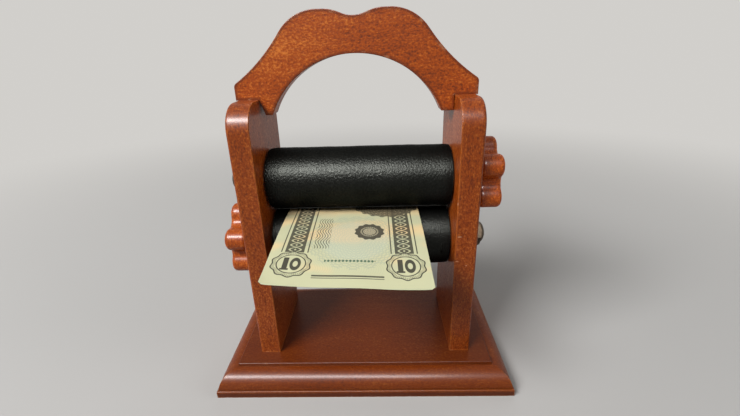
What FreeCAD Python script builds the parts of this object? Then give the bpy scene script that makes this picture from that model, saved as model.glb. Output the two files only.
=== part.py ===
"""A small wooden two-roller machine that feeds a paper note out between its rollers.

Millimetres, +X to the machine's right, +Y to its back, +Z up.
The origin is the middle of the base board's underside.
Each sub-part is written to parts/NAME.step as its own solid or group of solids.
"""

import FreeCAD
import Part
import math
import os

from FreeCAD import Vector

# Base board, whose flat top reaches past the uprights by the margins
base_thickness = 13.0
base_end_margin = 9.9
base_front_margin = 8.0
moulding_foot_height = 3.8
moulding_foot_ledge = 0.9
moulding_top_rise = 1.4
moulding_top_ledge = 0.8
board_edge_round = 0.4

# Uprights
upright_gap = 91.0
upright_thickness = 10.6
upright_depth = 48.0
upright_height = 131.5
upright_corner_radius = 12.0
upright_outer_round = 1.5
upright_inner_round = 0.35

# Arch
arch_thickness = 10.0
arch_hump_spacing = 27.6
arch_hump_flat = 2.2
arch_hump_radius = 21.0
arch_hump_top = 37.5
arch_valley_drop = 2.85
arch_hump_end_angle = 54.0
arch_end_height = 7.0
arch_end_round = 2.4
arch_opening_rise = 19.2
arch_foot_width = 5.7
arch_foot_length = 7.1
arch_foot_clearance = 0.2
arch_foot_slant = 2.3
arch_edge_round = 0.3

# Rollers, the upper one set below the uprights' tops and the fuller lower one just clear of it
upper_axis_drop = 40.0
roller_gap = 0.9
core_radius = 12.7
core_end_play = 0.2
upper_cloth_thickness = 3.0
lower_cloth_thickness = 3.6
cloth_side_margin = 0.8
rod_diameter = 4.0
rod_running_clearance = 0.05
core_pin_diameter = 2.0
core_pin_inset = 12.0
core_pin_recess = 0.2

# Cloth tacks, along the core's back where the cloth's inner end lies
tack_count = 3
tack_spacing = 30.0
tack_head_diameter = 3.0
tack_head_thickness = 0.5
tack_shank_diameter = 1.0
tack_shank_length = 5.0
tack_head_clearance = 0.1

# Star knobs
knob_lobes = 5
knob_lobe_radius = 5.6
knob_lobe_distance = 13.2
knob_valley_radius = 4.0
knob_thickness = 11.1
knob_edge_round = 2.2
upper_knob_angle = 34.0
lower_knob_angle = 20.0
knob_insert_diameter = 7.0
knob_insert_length = 8.0

# Washers and cap nuts
washer_diameter = 14.0
washer_thickness = 1.2
washer_clearance = 0.1
cap_nut_flats = 12.4
cap_nut_hex_height = 5.2
cap_nut_collar_radius = 5.3
cap_nut_height = 8.1
cap_nut_dome_height = 1.9
cap_nut_dome_round = 0.9
cap_nut_bore_depth = 6.4
cap_nut_chamfer = 0.5

# Fasteners of the frame
wood_screw_diameter = 3.6
wood_screw_head_diameter = 7.4
wood_screw_head_height = 2.2
wood_screw_length = 34.0
wood_screw_tip_length = 4.0
wood_screw_sink = 0.6
wood_screw_spacing = 28.0
wood_screw_slot_width = 1.0
wood_screw_slot_depth = 1.0
dowel_diameter = 4.0
dowel_length = 14.0

# Paper note
note_width = 66.3
note_thickness = 0.2
note_out = 66.0
note_in_nip = 1.5
note_tilt = 4.0
note_skew = 0.8
note_side_shift = -3.4

# How near an edge must lie to a place to be taken for it
place_tolerance = 1e-4

# Places that follow from the sizes above
half_gap = upright_gap / 2
outer_face = half_gap + upright_thickness
upright_top = base_thickness + upright_height
moulding_round_radius = base_thickness - moulding_foot_height - moulding_top_rise
moulding_reach = moulding_foot_ledge + moulding_round_radius + moulding_top_ledge
base_length = 2 * (outer_face + base_end_margin + moulding_reach)
base_width = upright_depth + 2 * (base_front_margin + moulding_reach)
upper_cloth_radius = core_radius + upper_cloth_thickness
lower_cloth_radius = core_radius + lower_cloth_thickness
upper_axis_height = upright_top - upper_axis_drop
lower_axis_height = upper_axis_height - upper_cloth_radius - lower_cloth_radius - roller_gap
nip_height = upper_axis_height - upper_cloth_radius - roller_gap / 2
washer_start = outer_face + washer_clearance
washer_end = washer_start + washer_thickness
knob_end = washer_end + knob_thickness
screw_x = half_gap + upright_thickness / 2

X_AXIS = Vector(1, 0, 0)
Y_AXIS = Vector(0, 1, 0)
Z_AXIS = Vector(0, 0, 1)


def export(shape, name):
    """Write one sub-part and print what it holds."""
    shape.exportStep(f"parts/{name}.step")
    print(f"{name}: {len(shape.Solids)} solid(s), {shape.Volume:.1f} mm3, valid {shape.isValid()}")


def x_cylinder(radius, x_start, x_end, height):
    """A cylinder along X at an axis height, between two X places in either order."""
    low = min(x_start, x_end)
    return Part.makeCylinder(radius, abs(x_end - x_start), Vector(low, 0, height), X_AXIS)


def arc(start, middle, end):
    """An arc edge through three points."""
    return Part.Arc(start, middle, end).toShape()


def line(start, end):
    """A straight edge."""
    return Part.LineSegment(start, end).toShape()


def face_of(edges):
    """A flat face from edges in any order."""
    return Part.Face(Part.Wire(Part.__sortEdges__(edges)))


def on_circle(centre, radius, angle):
    """The XZ point at an angle from straight up, turning towards +X."""
    turn = math.radians(angle)
    return Vector(centre.x + radius * math.sin(turn), 0, centre.z + radius * math.cos(turn))


def board_profile(half_width):
    """The moulded board's section: a point is (distance from the middle, height)."""
    round_start = half_width - moulding_foot_ledge
    round_centre = round_start - moulding_round_radius
    round_top = moulding_foot_height + moulding_round_radius
    top_edge = round_centre - moulding_top_ledge
    slant = moulding_round_radius * math.sqrt(0.5)
    straight = [
        ((half_width, 0), (half_width, moulding_foot_height)),
        ((half_width, moulding_foot_height), (round_start, moulding_foot_height)),
        ((round_centre, round_top), (top_edge, round_top)),
        ((top_edge, round_top), (top_edge, base_thickness)),
    ]
    curve = (
        (round_start, moulding_foot_height),
        (round_centre + slant, moulding_foot_height + slant),
        (round_centre, round_top),
    )
    return straight, curve, top_edge


def board_prism(half_width, length, across_x):
    """The board's section extruded along X, or along Y where across_x is true."""
    straight, curve, top_edge = board_profile(half_width)

    def place(side, point):
        across, height = side * point[0], point[1]
        if across_x:
            return Vector(across, -length / 2, height)
        return Vector(-length / 2, across, height)

    edges = []
    for side in (-1, 1):
        for start, end in straight:
            edges.append(line(place(side, start), place(side, end)))
        edges.append(arc(*[place(side, point) for point in curve]))
    for reach, height in ((half_width, 0), (top_edge, base_thickness)):
        edges.append(line(place(-1, (reach, height)), place(1, (reach, height))))
    direction = Y_AXIS if across_x else X_AXIS
    return face_of(edges).extrude(direction * length)


def rounded(shape, radius, chosen):
    """The shape with the edges that a test picks rounded."""
    edges = [edge for edge in shape.Edges if chosen(edge)]
    return shape.makeFillet(radius, edges)


def lies_at(edge, axis, value):
    """True where a whole edge lies at one coordinate."""
    box = edge.BoundBox
    low, high = getattr(box, axis + "Min"), getattr(box, axis + "Max")
    return abs(low - value) < place_tolerance and abs(high - value) < place_tolerance


def wood_screw(x, y):
    """A slotted countersunk wood screw, driven upwards from the base's underside."""
    head_low = wood_screw_sink
    head_top = head_low + wood_screw_head_height
    tip_start = head_low + wood_screw_length - wood_screw_tip_length
    radius = wood_screw_diameter / 2
    screw = Part.makeCone(
        wood_screw_head_diameter / 2, radius, wood_screw_head_height, Vector(x, y, head_low)
    )
    screw = screw.fuse(Part.makeCylinder(radius, tip_start - head_top, Vector(x, y, head_top)))
    screw = screw.fuse(Part.makeCone(radius, 0, wood_screw_tip_length, Vector(x, y, tip_start)))
    slot = Part.makeBox(
        wood_screw_head_diameter,
        wood_screw_slot_width,
        wood_screw_slot_depth,
        Vector(x - wood_screw_head_diameter / 2, y - wood_screw_slot_width / 2, head_low),
    )
    return screw.cut(slot).removeSplitter()


def wood_screw_hole(x, y):
    """What a wood screw takes out of the wood, open at the underside."""
    head_top = wood_screw_sink + wood_screw_head_height
    tip_start = wood_screw_sink + wood_screw_length - wood_screw_tip_length
    radius = wood_screw_diameter / 2
    hole = Part.makeCylinder(wood_screw_head_diameter / 2, wood_screw_sink, Vector(x, y, 0))
    hole = hole.fuse(Part.makeCone(
        wood_screw_head_diameter / 2, radius, wood_screw_head_height, Vector(x, y, wood_screw_sink)
    ))
    hole = hole.fuse(Part.makeCylinder(radius, tip_start - head_top, Vector(x, y, head_top)))
    return hole.fuse(Part.makeCone(radius, 0, wood_screw_tip_length, Vector(x, y, tip_start)))


def screw_places(side):
    """The two screw places under one upright."""
    return [(side * screw_x, step * wood_screw_spacing / 2) for step in (-1, 1)]


def base_board():
    """The moulded base, the same section along all four sides, mitred at the corners."""
    board = board_prism(base_length / 2, base_width, True)
    board = board.common(board_prism(base_width / 2, base_length, False))

    def outer_rim(edge):
        on_a_side = any(
            lies_at(edge, axis, end * size / 2)
            for axis, size in (("X", base_length), ("Y", base_width)) for end in (-1, 1)
        )
        return lies_at(edge, "Z", moulding_foot_height) and on_a_side

    board = rounded(board, board_edge_round, lambda edge: lies_at(edge, "Z", base_thickness))
    board = rounded(board, board_edge_round, outer_rim)
    for side in (-1, 1):
        for x, y in screw_places(side):
            board = board.cut(wood_screw_hole(x, y))
    return board


def upright(side):
    """A tall board, rounded at its two top corners and round its outer face."""
    half_depth = upright_depth / 2
    inner = side * half_gap
    corner = upright_corner_radius
    slant = corner * (1 - math.sqrt(0.5))

    def at(y, z):
        return Vector(inner, y, z)

    edges = [
        line(at(-half_depth, base_thickness), at(half_depth, base_thickness)),
        line(at(-half_depth + corner, upright_top), at(half_depth - corner, upright_top)),
    ]
    for end in (-1, 1):
        edge_y = end * half_depth
        edges.append(line(at(edge_y, base_thickness), at(edge_y, upright_top - corner)))
        edges.append(arc(
            at(edge_y, upright_top - corner),
            at(edge_y - end * slant, upright_top - slant),
            at(edge_y - end * corner, upright_top),
        ))
    board = face_of(edges).extrude(X_AXIS * side * upright_thickness)
    for x, radius in ((side * outer_face, upright_outer_round), (inner, upright_inner_round)):
        board = rounded(
            board, radius, lambda edge: lies_at(edge, "X", x) and not lies_at(edge, "Z", base_thickness)
        )
    hole_radius = rod_diameter / 2 + rod_running_clearance
    for height in (upper_axis_height, lower_axis_height):
        board = board.cut(x_cylinder(hole_radius, inner, side * outer_face, height))
    for x, y in screw_places(side):
        board = board.cut(wood_screw_hole(x, y))
    return board.cut(dowel(side))


def dowel(side):
    """One dowel, half in the upright's top and half in the arch."""
    low = upright_top - dowel_length / 2
    return Part.makeCylinder(dowel_diameter / 2, dowel_length, Vector(side * screw_x, 0, low))


def arch_upper_half(side):
    """The arch's upper outline from the valley to the outer end, for one side."""
    hump_top = upright_top + arch_hump_top
    hump = Vector(arch_hump_spacing / 2, 0, hump_top - arch_hump_radius)
    valley_height = hump_top - arch_valley_drop
    rise = valley_height - hump.z
    valley_radius = (hump.x ** 2 + rise ** 2 - arch_hump_radius ** 2) / (2 * (arch_hump_radius - rise))
    valley = Vector(0, 0, valley_height + valley_radius)
    turn = math.degrees(math.atan2(hump.x, valley.z - hump.z))
    blend = hump + (valley - hump).normalize() * arch_hump_radius
    flat = Vector(arch_hump_flat, 0, 0)
    crest = on_circle(hump, arch_hump_radius, 0)
    outer_hump = hump + flat
    hump_end = on_circle(outer_hump, arch_hump_radius, arch_hump_end_angle)
    corner = Vector(outer_face, 0, upright_top + arch_end_height)
    outward = (hump_end - outer_hump).normalize()
    to_end = hump_end - corner
    shoulder_radius = -to_end.dot(to_end) / (2 * to_end.dot(outward))
    shoulder = hump_end + outward * shoulder_radius
    to_corner = corner - shoulder
    end_slope = math.degrees(math.atan2(-to_corner.x, -to_corner.z))
    middle_slope = (arch_hump_end_angle + end_slope) / 2
    pieces = [
        (Vector(0, 0, valley_height), on_circle(valley, -valley_radius, -turn / 2), blend),
        (blend, on_circle(hump, arch_hump_radius, -turn / 2), crest),
        (crest, crest + flat),
        (crest + flat, on_circle(outer_hump, arch_hump_radius, arch_hump_end_angle / 2), hump_end),
        (hump_end, on_circle(shoulder, -shoulder_radius, middle_slope), corner),
        (corner, Vector(outer_face, 0, upright_top)),
    ]
    edges = []
    for piece in pieces:
        points = [Vector(side * point.x, 0, point.z) for point in piece]
        edges.append(arc(*points) if len(points) == 3 else line(*points))
    return edges


def arch():
    """The crown that ties the uprights' tops, with a foot inside each upright."""
    foot_low = upright_top - arch_foot_length
    foot_outer = half_gap - arch_foot_clearance
    foot_inner = foot_outer - arch_foot_width
    edges = [arc(
        Vector(-foot_inner, 0, foot_low),
        Vector(0, 0, upright_top + arch_opening_rise),
        Vector(foot_inner, 0, foot_low),
    )]
    for side in (-1, 1):
        slant = arch_foot_slant if side < 0 else 0
        corners = [
            Vector(side * outer_face, 0, upright_top),
            Vector(side * foot_outer, 0, upright_top),
            Vector(side * (foot_outer - slant), 0, foot_low),
            Vector(side * foot_inner, 0, foot_low),
        ]
        edges += arch_upper_half(side)
        edges += [line(*corners[step:step + 2]) for step in range(3)]
    board = face_of(edges).extrude(Y_AXIS * arch_thickness)
    board.translate(Y_AXIS * -arch_thickness / 2)

    def outline_edge(edge):
        on_a_face = lies_at(edge, "Y", arch_thickness / 2) or lies_at(edge, "Y", -arch_thickness / 2)
        return on_a_face and not lies_at(edge, "Z", upright_top)

    corner_height = upright_top + arch_end_height
    board = rounded(board, arch_end_round, lambda edge: lies_at(edge, "Z", corner_height))
    board = rounded(board, arch_edge_round, outline_edge)
    for side in (-1, 1):
        board = board.cut(dowel(side))
    return board


def roller_core(height):
    """A wooden roller, bored for its rod, its cross pin and its tacks."""
    half_length = half_gap - core_end_play
    core = x_cylinder(core_radius, -half_length, half_length, height)
    core = core.cut(x_cylinder(rod_diameter / 2, -half_gap, half_gap, height))
    pin_hole = Part.makeCylinder(
        core_pin_diameter / 2, 2 * core_radius, Vector(core_pin_x(), 0, height - core_radius)
    )
    return core.cut(pin_hole).cut(tacks(height, tack_head_clearance))


def core_pin_x():
    """The cross pin's place along the roller."""
    return half_gap - core_pin_inset


def core_pin(height):
    """The steel pin that ties a core to its rod."""
    reach = core_radius - core_pin_recess
    return Part.makeCylinder(core_pin_diameter / 2, 2 * reach, Vector(core_pin_x(), 0, height - reach))


def tacks(height, clearance=0.0):
    """The tacks that hold the cloth's inner end, or their holes where there is a clearance."""
    row = []
    for index in range(tack_count):
        x = (index - (tack_count - 1) / 2) * tack_spacing
        head_radius = tack_head_diameter / 2 + clearance
        sunk = math.sqrt(core_radius ** 2 - (tack_head_diameter / 2) ** 2)
        head_depth = core_radius if clearance else tack_head_thickness
        head = Part.makeCylinder(
            head_radius, head_depth, Vector(x, sunk - tack_head_thickness, height), Y_AXIS
        )
        shank_start = sunk - tack_head_thickness - tack_shank_length
        shank = Part.makeCylinder(
            tack_shank_diameter / 2, tack_shank_length, Vector(x, shank_start, height), Y_AXIS
        )
        row.append(head.fuse(shank).removeSplitter())
    return Part.makeCompound(row)


def cloth(height, radius):
    """The cloth wound on a roller, as a sleeve out to the winding's radius."""
    half_length = half_gap - core_end_play - cloth_side_margin
    sleeve = x_cylinder(radius, -half_length, half_length, height)
    return sleeve.cut(x_cylinder(core_radius, -half_length, half_length, height))


def rod(height, knob_side):
    """The steel rod through a roller, from inside its knob to inside its cap nut."""
    in_knob = knob_side * (washer_end + knob_insert_length)
    in_nut = -knob_side * (washer_end + cap_nut_bore_depth)
    whole = x_cylinder(rod_diameter / 2, in_knob, in_nut, height)
    return whole.cut(core_pin(height))


def washer(height, side):
    """A flat washer on the rod, just clear of the upright's outer face."""
    disc = x_cylinder(washer_diameter / 2, side * washer_start, side * washer_end, height)
    return disc.cut(x_cylinder(rod_diameter / 2, side * washer_start, side * washer_end, height))


def cap_nut(height, side):
    """A hexagon cap nut with a broad low dome."""
    corner_radius = cap_nut_flats / math.sqrt(3)
    corners = [
        Vector(0, corner_radius * math.cos(math.radians(60 * step)),
               corner_radius * math.sin(math.radians(60 * step)))
        for step in range(7)
    ]
    hexagon = Part.Face(Part.makePolygon(corners)).extrude(X_AXIS * cap_nut_hex_height)
    limit = Part.makeCone(
        corner_radius, corner_radius + cap_nut_hex_height, cap_nut_hex_height, Vector(0, 0, 0), X_AXIS
    )
    cap = Part.makeCone(
        cap_nut_flats / 2 + cap_nut_hex_height, cap_nut_flats / 2 + cap_nut_chamfer,
        cap_nut_hex_height, Vector(0, 0, 0), X_AXIS
    )
    nut = hexagon.common(limit).common(cap)
    collar = Part.makeCylinder(cap_nut_collar_radius, cap_nut_height, Vector(0, 0, 0), X_AXIS)
    dome_radius = (cap_nut_collar_radius ** 2 + cap_nut_dome_height ** 2) / (2 * cap_nut_dome_height)
    collar = collar.common(Part.makeSphere(dome_radius, Vector(cap_nut_height - dome_radius, 0, 0)))
    rim = cap_nut_height - cap_nut_dome_height
    collar = rounded(collar, cap_nut_dome_round, lambda edge: lies_at(edge, "X", rim))
    nut = nut.fuse(collar)
    nut = nut.cut(Part.makeCylinder(rod_diameter / 2, cap_nut_bore_depth, Vector(0, 0, 0), X_AXIS))
    nut = nut.removeSplitter()
    if side < 0:
        nut.rotate(Vector(0, 0, 0), Z_AXIS, 180)
    nut.translate(Vector(side * washer_end, 0, height))
    return nut


def knob_outline(first_angle):
    """The star's outline in YZ round the origin, lobes and valleys as tangent arcs."""
    step = 360.0 / knob_lobes
    half_step = math.radians(step / 2)
    across = knob_lobe_distance * math.cos(half_step)
    reach = knob_lobe_radius + knob_valley_radius
    inward = reach ** 2 - (knob_lobe_distance * math.sin(half_step)) ** 2
    valley_distance = across + math.sqrt(inward)

    def polar(distance, angle):
        turn = math.radians(angle)
        return Vector(0, -distance * math.cos(turn), distance * math.sin(turn))

    edges = []
    for index in range(knob_lobes):
        angle = first_angle + index * step
        lobe = polar(knob_lobe_distance, angle)
        joints = []
        for turn in (-step / 2, step / 2):
            valley = polar(valley_distance, angle + turn)
            joints.append(lobe + (valley - lobe).normalize() * knob_lobe_radius)
        edges.append(arc(joints[0], polar(knob_lobe_distance + knob_lobe_radius, angle), joints[1]))
        next_lobe = polar(knob_lobe_distance, angle + step)
        valley = polar(valley_distance, angle + step / 2)
        next_joint = next_lobe + (valley - next_lobe).normalize() * knob_lobe_radius
        bottom = polar(valley_distance - knob_valley_radius, angle + step / 2)
        edges.append(arc(joints[1], bottom, next_joint))
    return edges


def knob(height, side, first_angle):
    """A star knob with soft edges, bored for its insert."""
    star = face_of(knob_outline(first_angle)).extrude(X_AXIS * knob_thickness)
    star = star.makeFillet(
        knob_edge_round,
        [edge for edge in star.Edges if lies_at(edge, "X", 0) or lies_at(edge, "X", knob_thickness)],
    )
    start = washer_end if side > 0 else -knob_end
    star.translate(Vector(start, 0, height))
    return star.cut(x_cylinder(
        knob_insert_diameter / 2, side * washer_end, side * (washer_end + knob_insert_length), height
    ))


def knob_insert(height, side):
    """The threaded brass insert that the rod screws into."""
    end = washer_end + knob_insert_length
    sleeve = x_cylinder(knob_insert_diameter / 2, side * washer_end, side * end, height)
    return sleeve.cut(x_cylinder(rod_diameter / 2, side * washer_end, side * end, height))


def paper_note():
    """The note's part in front of the nip: flat, tilted down to the front and a little skewed."""
    sheet = Part.makeBox(
        note_width, note_out + note_in_nip, note_thickness,
        Vector(-note_width / 2, -note_out, -note_thickness / 2),
    )
    sheet.rotate(Vector(0, -note_out / 2, 0), Z_AXIS, note_skew)
    sheet.rotate(Vector(0, 0, 0), X_AXIS, note_tilt)
    sheet.translate(Vector(note_side_shift, 0, nip_height))
    return sheet


os.makedirs("parts", exist_ok=True)

export(base_board(), "base_board")
export(arch(), "arch")
export(Part.makeCompound([dowel(-1), dowel(1)]), "arch_dowels")
for side, side_name in ((-1, "left"), (1, "right")):
    export(upright(side), f"{side_name}_upright")
    screws = [wood_screw(x, y) for x, y in screw_places(side)]
    export(Part.makeCompound(screws), f"{side_name}_upright_screws")

for height, knob_side, roller, cloth_radius, knob_angle in (
    (upper_axis_height, 1, "upper", upper_cloth_radius, upper_knob_angle),
    (lower_axis_height, -1, "lower", lower_cloth_radius, lower_knob_angle),
):
    export(roller_core(height), f"{roller}_roller_core")
    export(core_pin(height), f"{roller}_core_pin")
    export(tacks(height), f"{roller}_cloth_tacks")
    export(cloth(height, cloth_radius), f"{roller}_cloth")
    export(rod(height, knob_side), f"{roller}_axle_rod")
    export(knob(height, knob_side, knob_angle), f"{roller}_knob")
    export(knob_insert(height, knob_side), f"{roller}_knob_insert")
    export(washer(height, knob_side), f"{roller}_knob_washer")
    export(washer(height, -knob_side), f"{roller}_nut_washer")
    export(cap_nut(height, -knob_side), f"{roller}_cap_nut")

export(paper_note(), "paper_note")
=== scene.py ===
"""The looks of a small wooden machine whose two cloth-wound rollers feed out a paper note.

Metres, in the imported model's frame: +X to the machine's right, +Y to its back, +Z up.
"""

import math

import bmesh
import bpy
from bpy.props import FloatProperty, FloatVectorProperty, IntProperty, PointerProperty
from bpy.types import Operator, Panel, PropertyGroup
from mathutils import Matrix, Vector


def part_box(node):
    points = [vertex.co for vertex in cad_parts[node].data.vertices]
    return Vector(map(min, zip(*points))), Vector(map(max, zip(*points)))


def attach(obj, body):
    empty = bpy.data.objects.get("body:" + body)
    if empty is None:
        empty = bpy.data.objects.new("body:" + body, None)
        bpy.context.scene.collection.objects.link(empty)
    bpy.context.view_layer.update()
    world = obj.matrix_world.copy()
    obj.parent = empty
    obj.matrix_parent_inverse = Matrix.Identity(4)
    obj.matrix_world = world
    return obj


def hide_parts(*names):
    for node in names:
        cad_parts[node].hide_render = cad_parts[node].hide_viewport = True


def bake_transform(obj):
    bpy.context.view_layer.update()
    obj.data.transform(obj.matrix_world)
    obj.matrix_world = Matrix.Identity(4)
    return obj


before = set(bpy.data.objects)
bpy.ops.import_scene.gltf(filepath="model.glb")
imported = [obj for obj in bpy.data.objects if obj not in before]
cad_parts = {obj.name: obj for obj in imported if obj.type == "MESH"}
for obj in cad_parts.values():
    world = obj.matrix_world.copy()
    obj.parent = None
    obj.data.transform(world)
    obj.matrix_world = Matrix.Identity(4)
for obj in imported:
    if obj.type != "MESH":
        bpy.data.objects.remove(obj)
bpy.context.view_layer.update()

bl_info = {
    "name": "Two-roller note machine",
    "version": (1, 0, 0),
    "blender": (4, 5, 0),
    "location": "View3D > Sidebar > Note Machine",
    "description": "Finishes, wound cloth, paper note and studio for a two-roller note machine",
    "category": "Add Mesh",
}

MM = 0.001

# The photograph's frame, and the camera worked out from it
FRAME_WIDTH_PX = 740
FOCAL_LENGTH_PX = 378.34
AXIS_ABOVE_MIDDLE_PX = 14.9
CAMERA_PLACE = Vector((0.01016, -0.18398, 0.16568))
CAMERA_YAW = math.radians(-1.630)
CAMERA_PITCH = math.radians(-20.993)
CAMERA_ROLL = math.radians(-1.779)
SENSOR_WIDTH_MM = 36.0

LAMP_AIM = Vector((0.0, 0.0, 0.08))

# How the note lies: angles in radians, lengths in millimetres
NOTE_SKEW = math.radians(0.8)
NOTE_SLOPE = math.radians(1.2)
NOTE_SHIFT = -3.83
NOTE_SAG = 4.5
NOTE_TWIST = 2.05
NOTE_CROWN = 0.25
NOTE_RIPPLE = 0.16
NOTE_RIPPLES_PER_METRE = 190.0
NOTE_DIP = 0.22
NOTE_DIP_REACH = 3.0
NOTE_CORNER = 1.2
NOTE_IN_NIP = 0.6
NOTE_ABOVE_ROLLER = 0.45
CURL_START = 1.86
LEFT_CURL = 9.0
RIGHT_CURL = 3.0


def colour_setting(name, description, default):
    """A colour that a user can change."""
    return FloatVectorProperty(
        name=name, description=description, default=default,
        size=3, subtype="COLOR", min=0.0, max=1.0,
    )


def length_setting(name, description, default):
    """A length that a user can change."""
    return FloatProperty(
        name=name, description=description, default=default,
        subtype="DISTANCE", unit="LENGTH", precision=5,
    )


def share_setting(name, description, default):
    """A share from nothing to all that a user can change."""
    return FloatProperty(
        name=name, description=description, default=default,
        subtype="FACTOR", min=0.0, max=1.0,
    )


def place_setting(name, description, default):
    """Three lengths in millimetres that a user can change."""
    return FloatVectorProperty(
        name=name, description=description, default=default, size=3, subtype="XYZ"
    )


class WoodSettings(PropertyGroup):
    """The stained and lacquered wood."""

    stain: colour_setting("Stain", "Middle tone of the stained wood", (0.285, 0.048, 0.002))
    deep: colour_setting("Deep", "Darkest tone of the figure", (0.115, 0.018, 0.001))
    pale: colour_setting("Pale", "Lightest tone of the figure", (0.500, 0.140, 0.020))
    bare: colour_setting("Bare wood", "Wood where the lacquer is off", (0.640, 0.330, 0.170))
    raw: colour_setting("Raw wood", "Wood of the cores and dowels", (0.560, 0.370, 0.200))
    # The band along an edge is painted highlight where it is pale and painted shade where it is
    # dark, with some wear and gathered stain.
    edge_width: length_setting("Edge width", "How far the stain changes in from an edge", 0.0009)


class ClothSettings(PropertyGroup):
    """The satin strip that is wound on both rollers."""

    thread: colour_setting("Thread", "Colour of the satin's threads", (0.0106, 0.0110, 0.0099))
    turns: IntProperty(
        name="Turns", description="Turns of cloth on each roller", default=12, min=4, max=24
    )
    thickness: length_setting("Thickness", "Thickness of the cloth", 0.00018)
    swell: length_setting("Swell", "Height of the winding's soft unevenness", 0.00011)
    fold_place: place_setting(
        "Fold place", "Middle of the small fold, in millimetres", (40.4, -16.2, 70.5)
    )
    fold_reach: place_setting(
        "Fold reach", "Half size of the small fold, in millimetres", (0.55, 3.0, 2.8)
    )


class NoteSettings(PropertyGroup):
    """The printed paper note."""

    paper: colour_setting("Paper", "Tint of the paper", (0.610, 0.615, 0.385))
    warm: colour_setting("Warm tint", "Second tint, towards the nip", (0.850, 0.640, 0.330))
    ink: colour_setting("Ink", "Dark printing ink", (0.034, 0.032, 0.024))
    green: colour_setting("Green ink", "Ink of the row of lozenges", (0.010, 0.090, 0.050))
    width: length_setting("Width", "Width of the note", 0.0663)
    out: length_setting("Length out", "How far the note reaches out of the nip", 0.0654)
    thickness: length_setting("Thickness", "Thickness of the paper", 0.00011)


class MetalSettings(PropertyGroup):
    """The metal pieces."""

    bronze: colour_setting("Bronze", "Dark bronzed caps and washers", (0.105, 0.078, 0.055))
    steel: colour_setting("Steel", "Rods, pins, tacks and screws", (0.560, 0.560, 0.570))
    brass: colour_setting("Brass", "Threaded inserts", (0.700, 0.500, 0.220))


class StudioSettings(PropertyGroup):
    """The floor, the background and the lamps."""

    floor: colour_setting("Floor", "Colour of the floor", (0.470, 0.462, 0.450))
    background: colour_setting("Background", "Colour behind the object", (0.640, 0.625, 0.600))
    room_light: share_setting("Room light", "Even light from all round", 0.11)
    key_power: FloatProperty(
        name="Key power", description="Power of the large lamp",
        default=27.0, unit="POWER", min=0.0,
    )
    gleam: FloatProperty(
        name="Gleam", description="Power of the lamp that only gloss shows, next to the key's",
        default=1.9, min=0.0,
    )
    floor_radius: length_setting("Floor radius", "How far the floor reaches", 3.0)


class Value:
    """A number in a shader tree that plain arithmetic combines."""

    def __init__(self, graph, socket):
        self.graph = graph
        self.socket = socket

    def __add__(self, other):
        return self.graph.math("ADD", self, other)

    __radd__ = __add__

    def __sub__(self, other):
        return self.graph.math("SUBTRACT", self, other)

    def __rsub__(self, other):
        return self.graph.math("SUBTRACT", other, self)

    def __mul__(self, other):
        return self.graph.math("MULTIPLY", self, other)

    __rmul__ = __mul__

    def __truediv__(self, other):
        return self.graph.math("DIVIDE", self, other)

    def __pow__(self, other):
        return self.graph.math("POWER", self, other)

    def __abs__(self):
        return self.graph.math("ABSOLUTE", self)

    def fade(self, start, end):
        """0 at start, 1 at end, and smooth between, either way round."""
        node = self.graph.node("MapRange", interpolation_type="SMOOTHSTEP")
        for name, item in (("Value", self), ("From Min", start), ("From Max", end)):
            self.graph.feed(node.inputs[name], item)
        return Value(self.graph, node.outputs["Result"])

    def inside(self, limit, soft=0.06):
        """1 where the number is under a limit."""
        return self.fade(limit + soft, limit - soft)

    def either(self, other):
        """The larger of two masks."""
        return self.graph.math("MAXIMUM", self, other)


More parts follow.
